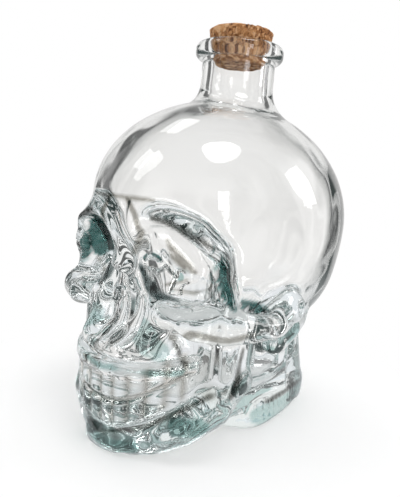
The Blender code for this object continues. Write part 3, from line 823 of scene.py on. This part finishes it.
GLASS_CLEAR, THIN_GLASS = (0.985, 0.985, 0.98), 0.012
GLASS_DEEP, THICK_GLASS = (0.965, 0.98, 0.977), 0.035
# Painted shade where the skin is seen edge on: it stands for the dark room refracted there, and in part
# for the long path of light through the glass
EDGE_SHADE_TONES = ((0.55, (1, 1, 1)), (0.80, (0.66, 0.675, 0.67)), (1, (0.08, 0.10, 0.098)))
GLASS_INDEX = 1.5
BODY_TINT, BODY_DENSITY = (0.30, 0.60, 0.57), 1.7
SHADOW_TINT = (0.81, 0.81, 0.81)
# A painted glow: where light is still inside the glass after this many reflections, the skin glows in
# these tones, the paler the more it faces up as if lit from above, and darker above the thick base
LAST_REFLECTION = 5
TRAPPED_TONES = ((0.45, (0.090, 0.130, 0.125)), (1, (0.46, 0.54, 0.535)))
# Where an upright skin lies among those tones, and how far facing up or down moves it
UPRIGHT_PLACE, FACING_SHARE = 0.75, 0.25
UPPER_TRAPPED = (0.22, 0.23, 0.23)
UPPER_START, UPPER_FULL = BASE_THICKNESS, 2.6 * BASE_THICKNESS

CORK_TONES = (
    (0, (0.14, 0.055, 0.018)), (0.3, (0.33, 0.145, 0.052)),
    (0.65, (0.50, 0.25, 0.105)), (1, (0.64, 0.38, 0.20)),
)
CRACK_TONES = ((0, (1, 1, 1)), (0.35, (0.55, 0.44, 0.36)), (1, (0.08, 0.045, 0.028)))
PORE_TONES = ((0.34, 0.30), (0.46, 1.0))
# Noises: scale, detail and roughness
GRAIN, PORES = (900, 4, 0.6), (2600, 2, 0.5)
# A granule's tone on the ramp is its own, plus this and less a share of the grain
TONE_SHIFT, GRAIN_SHARE = 0.325, 0.245
CORK_ROUGHNESS, CORK_GLOSS = 0.82, 0.3
CORK_BUMP, CORK_BUMP_DEPTH = 0.6, 0.0003


def new_material(name):
    made = bpy.data.materials.new(name)
    made.use_nodes = True
    nodes = made.node_tree.nodes
    return made, made.node_tree, nodes["Principled BSDF"], nodes["Material Output"]


def glass_colour(tree):
    """Clear, with a breath of green where thick, and darker with painted shade edge on and along the
    ridges.
    """
    share = faded(tree, stored(tree, "glass_depth", "Fac"), THIN_GLASS, THICK_GLASS)
    tint = ramp(tree, share, ((0, GLASS_CLEAR), (1, GLASS_DEEP)))
    edge = new_node(tree, "ShaderNodeLayerWeight", {"Blend": 0.5}).outputs["Facing"]
    rim = ramp(tree, edge, EDGE_SHADE_TONES)
    return times(tree, times(tree, tint, rim), stored(tree, "painted_glass_shade", "Color"))


# A painted glow in place of the light that the reflections no longer carry
def trapped_light(tree, ray):
    trapped = calculated(tree, "GREATER_THAN", ray.outputs["Glossy Depth"], LAST_REFLECTION - 0.5)
    upward = part_of(tree, tree.nodes.new("ShaderNodeNewGeometry").outputs["Normal"], "Z")
    tone_place = calculated(tree, "MULTIPLY_ADD", upward, FACING_SHARE, UPRIGHT_PLACE)
    glow = ramp(tree, tone_place, TRAPPED_TONES)
    height = part_of(tree, tree.nodes.new("ShaderNodeTexCoord").outputs["Object"], "Z")
    above_base = faded(tree, height, UPPER_START, UPPER_FULL, kind="LINEAR")
    glow = times(tree, glow, ramp(tree, above_base, ((0, 1), (1, UPPER_TRAPPED))))
    return mixed(tree, trapped, (0, 0, 0), glow)


def clear_glass():
    """Clear soda glass that turns blue-green where it is thick, and casts a pale shadow; it carries
    painted shade and a painted glow.
    """
    made, tree, shader, out = new_material("clear_glass")
    ray = tree.nodes.new("ShaderNodeLightPath")
    for name, value in (
        ("Base Color", glass_colour(tree)), ("Roughness", 0), ("IOR", GLASS_INDEX),
        ("Transmission Weight", 1), ("Emission Color", trapped_light(tree, ray)), ("Emission Strength", 1),
    ):
        wire(tree, shader.inputs[name], value)
    body = {"Color": BODY_TINT, "Density": BODY_DENSITY}
    wire(tree, out.inputs["Volume"], new_node(tree, "ShaderNodeVolumeAbsorption", body).outputs["Volume"])
    pale = new_node(tree, "ShaderNodeBsdfTransparent", {"Color": SHADOW_TINT}).outputs["BSDF"]
    cast = either(tree, ray.outputs["Is Shadow Ray"], shader.outputs["BSDF"], pale)
    wire(tree, out.inputs["Surface"], cast)
    return made


def pressed_cork():
    """Pressed granules: each has its own brown, with dark cracks between some of them."""
    made, tree, shader, _ = new_material("pressed_cork")
    spot = tree.nodes.new("ShaderNodeTexCoord").outputs["Object"]
    grain = noise(tree, spot, *GRAIN)
    shift = calculated(tree, "MULTIPLY_ADD", grain, -GRAIN_SHARE, TONE_SHIFT)
    colour = ramp(tree, calculated(tree, "ADD", shift, stored(tree, "granule_tone", "Fac")), CORK_TONES)
    colour = times(tree, colour, ramp(tree, stored(tree, "granule_crack", "Fac"), CRACK_TONES))
    colour = times(tree, colour, ramp(tree, noise(tree, spot, *PORES), PORE_TONES))
    bump = {"Strength": CORK_BUMP, "Distance": CORK_BUMP_DEPTH, "Height": grain}
    for name, value in (
        ("Base Color", colour), ("Roughness", CORK_ROUGHNESS), ("Specular IOR Level", CORK_GLOSS),
        ("Normal", new_node(tree, "ShaderNodeBump", bump).outputs["Normal"]),
    ):
        wire(tree, shader.inputs[name], value)
    return made


# Stage, light and camera

CAMERA_TURN = 37.0
CAMERA_AWAY = 0.272
CAMERA_HEIGHT = 0.1184
CAMERA_YAW = -2.38
CAMERA_PITCH = -7.83
CAMERA_ROLL = 4.77
CAMERA_FOCUS_PIXELS = 538.5
PICTURE_HEIGHT = 497
SENSOR = 36
NEAREST_SEEN = 0.01
LAMP_AIM = (0, 0, 0.11)
LAMPS = (
    # Name, turn from the face and rise in degrees, distance, width, height, power, shape
    ("window_above_right", 75, 67, 0.8, 0.36, 0.30, 1.6, "ELLIPSE"),
    ("window_above_left", -97, 65, 0.8, 0.26, 0.16, 0.35, "RECTANGLE"),
    ("window_front_left", -34, 42, 0.9, 0.18, 0.34, 0.8, "RECTANGLE"),
    ("window_right", 138, 20, 0.9, 0.20, 0.40, 1.2, "RECTANGLE"),
    ("window_slit", 66, 8, 0.9, 0.15, 0.36, 0.95, "RECTANGLE"),
)
# The glass sees pale card all round, broken by dark gaps. Each row is the middle of a gap in
# degrees from the face, half its width, how softly it starts and how dark it gets
GAPS = (
    (170, 10, 3, 0.9), (264, 10, 3, 0.9), (37, 60, 10, 0.36),
    (116, 12, 4, 1.0), (303, 12, 4, 1.0), (337, 11, 4, 1.0), (85, 10, 4, 1.0),
)
CARD_WHITE = (0.94, 0.93, 0.925)
GAP_DARK = (0.022, 0.026, 0.026)
CEILING = (0.16, 0.16, 0.16)
CARD_TOP, CARD_TOP_SOFTNESS = 36, 8
ROOM_LIGHT = (0.80, 0.80, 0.80)
WHITE = (1, 1, 1)
FLOOR_WHITE = (0.93, 0.93, 0.93)
FLOOR_ROUGHNESS, FLOOR_GLOSS = 0.9, 0.2
FLOOR_HALF_WIDTH, FLOOR_DROP = 6.0, 0.0004
# Distances from the bottle's middle at which the floor fades into the backdrop
FLOOR_FADE_START, FLOOR_FADE_END = 0.085, 0.15
FLOOR_GLASS_NEAR, FLOOR_GLASS_FAR = 0.10, 0.34
# The floor's glow through the glass, by distance from the bottle's middle: darker close to it as a painted
# shadow
FLOOR_THROUGH_GLASS = (
    (0.03, (0.66, 0.68, 0.685)), (0.085, (0.87, 0.89, 0.92)), (0.15, (0.92, 0.93, 0.94)),
)


def turned_towards(first, second, angle):
    """Both directions of a square pair, turned so that the first leans towards the second."""
    across, along = math.sin(angle), math.cos(angle)
    return first * along + second * across, second * along - first * across


def camera():
    turn, yaw, pitch, roll = map(math.radians, (CAMERA_TURN, CAMERA_YAW, CAMERA_PITCH, CAMERA_ROLL))
    ahead = Vector((-math.sin(turn), math.cos(turn), 0))
    right = Vector((math.cos(turn), math.sin(turn), 0))
    up = Vector((0, 0, 1))
    ahead, right = turned_towards(ahead, right, yaw)
    ahead, up = turned_towards(ahead, up, pitch)
    right, up = turned_towards(right, up, roll)
    data = bpy.data.cameras.new("camera")
    data.sensor_width = SENSOR
    data.lens = CAMERA_FOCUS_PIXELS / PICTURE_HEIGHT * SENSOR
    data.clip_start = NEAREST_SEEN
    made = bpy.data.objects.new("camera", data)
    bpy.context.scene.collection.objects.link(made)
    made.matrix_world = Matrix((
        (right.x, up.x, -ahead.x, math.sin(turn) * CAMERA_AWAY),
        (right.y, up.y, -ahead.y, -math.cos(turn) * CAMERA_AWAY + NECK_SETBACK),
        (right.z, up.z, -ahead.z, CAMERA_HEIGHT),
        (0, 0, 0, 1),
    ))
    bpy.context.scene.camera = made


def softbox(name, turn, rise, away, width, height, power, shape):
    """An area lamp that looks at the skull's middle."""
    turn, rise = math.radians(turn), math.radians(rise)
    out = Vector((math.sin(turn) * math.cos(rise), -math.cos(turn) * math.cos(rise), math.sin(rise)))
    data = bpy.data.lights.new(name, "AREA")
    data.shape = shape
    data.size, data.size_y = width, height
    data.energy = power
    made = bpy.data.objects.new(name, data)
    bpy.context.scene.collection.objects.link(made)
    made.location = Vector(LAMP_AIM) + out * away
    made.rotation_mode = "QUATERNION"
    made.rotation_quaternion = (-out).to_track_quat("-Z", "Y")
    made.visible_camera = False


def gap_mask(tree, way):
    """How dark the gaps between the cards are in each direction, from 0 to 1."""
    flat = new_node(tree, "ShaderNodeVectorMath", {0: way, 1: (1, 1, 0)}, operation="MULTIPLY")
    level = new_node(tree, "ShaderNodeVectorMath", {0: flat.outputs["Vector"]}, operation="NORMALIZE")
    gaps = []
    for turn, half_width, softness, depth in GAPS:
        aim = math.radians(turn)
        ends = {0: level.outputs["Vector"], 1: (math.sin(aim), -math.cos(aim), 0)}
        facing = new_node(tree, "ShaderNodeVectorMath", ends, operation="DOT_PRODUCT").outputs["Value"]
        start, full = (math.cos(math.radians(half_width + s * softness)) for s in (1, -1))
        gaps.append(faded(tree, facing, start, full, depth))
    dark = gaps[0]
    for gap in gaps[1:]:
        dark = calculated(tree, "MAXIMUM", dark, gap)
    return dark


def background(tree, colour):
    return new_node(tree, "ShaderNodeBackground", {"Color": colour}).outputs["Background"]


def glass_ray(tree, ray):
    """1 for a ray that has met glass or gloss last."""
    return calculated(tree, "MAXIMUM", ray.outputs["Is Glossy Ray"], ray.outputs["Is Transmission Ray"])


def studio():
    """A white room for the camera and the floor; the glass sees the cards and the gaps."""
    world = bpy.data.worlds.new("studio")
    bpy.context.scene.world = world
    world.use_nodes = True
    tree = world.node_tree
    tree.nodes.clear()
    way = tree.nodes.new("ShaderNodeTexCoord").outputs["Generated"]
    cards = mixed(tree, gap_mask(tree, way), CARD_WHITE, GAP_DARK)
    low, high = (math.sin(math.radians(CARD_TOP + s * CARD_TOP_SOFTNESS)) for s in (-1, 1))
    room = mixed(tree, faded(tree, part_of(tree, way, "Z"), low, high), cards, CEILING)
    ray = tree.nodes.new("ShaderNodeLightPath")
    # A ray that was spread by the cork or the floor counts as plain light, not as glass
    direct = calculated(tree, "LESS_THAN", ray.outputs["Diffuse Depth"], 0.5)
    through_glass = calculated(tree, "MULTIPLY", glass_ray(tree, ray), direct)
    seen = either(tree, through_glass, background(tree, ROOM_LIGHT), background(tree, room))
    seen = either(tree, ray.outputs["Is Camera Ray"], seen, background(tree, WHITE))
    new_node(tree, "ShaderNodeOutputWorld", {"Surface": seen})


def pale_floor():
    """Matt white that fades into the backdrop; through the glass it glows, with a painted shadow near the
    bottle.
    """
    made, tree, shader, out = new_material("pale_floor")
    for name, value in (
        ("Base Color", FLOOR_WHITE), ("Roughness", FLOOR_ROUGHNESS), ("Specular IOR Level", FLOOR_GLOSS),
    ):
        wire(tree, shader.inputs[name], value)
    spot = tree.nodes.new("ShaderNodeTexCoord").outputs["Object"]
    distance = new_node(tree, "ShaderNodeVectorMath", {0: spot}, operation="LENGTH").outputs["Value"]
    ray = tree.nodes.new("ShaderNodeLightPath")
    fade = faded(tree, distance, FLOOR_FADE_START, FLOOR_FADE_END)
    far = calculated(tree, "MULTIPLY", fade, ray.outputs["Is Camera Ray"])
    backdrop = new_node(tree, "ShaderNodeEmission", {"Color": WHITE}).outputs["Emission"]
    plain = either(tree, far, shader.outputs["BSDF"], backdrop)
    # Painted shadow: the glow seen through the glass is darker near the bottle
    tone = ramp(tree, distance, FLOOR_THROUGH_GLASS)
    near = new_node(tree, "ShaderNodeEmission", {"Color": tone}).outputs["Emission"]
    open_air = tree.nodes.new("ShaderNodeBsdfTransparent").outputs["BSDF"]
    away = faded(tree, distance, FLOOR_GLASS_NEAR, FLOOR_GLASS_FAR)
    through_glass = either(tree, away, near, open_air)
    wire(tree, out.inputs["Surface"], either(tree, glass_ray(tree, ray), plain, through_glass))
    return made


def floor():
    """A pale table top whose far parts run out into the white of the backdrop."""
    half = FLOOR_HALF_WIDTH
    corners = [(-half, -half, 0), (half, -half, 0), (half, half, 0), (-half, half, 0)]
    mesh = bpy.data.meshes.new("floor")
    mesh.from_pydata(corners, [], [(0, 1, 2, 3)])
    mesh.materials.append(pale_floor())
    made = bpy.data.objects.new("floor", mesh)
    bpy.context.scene.collection.objects.link(made)
    made.location = (0, 0, -FLOOR_DROP)


bpy.context.scene.view_settings.view_transform = "Standard"
camera()
glass_bottle()
cork_stopper()
floor()
studio()
for lamp in LAMPS:
    softbox(*lamp)
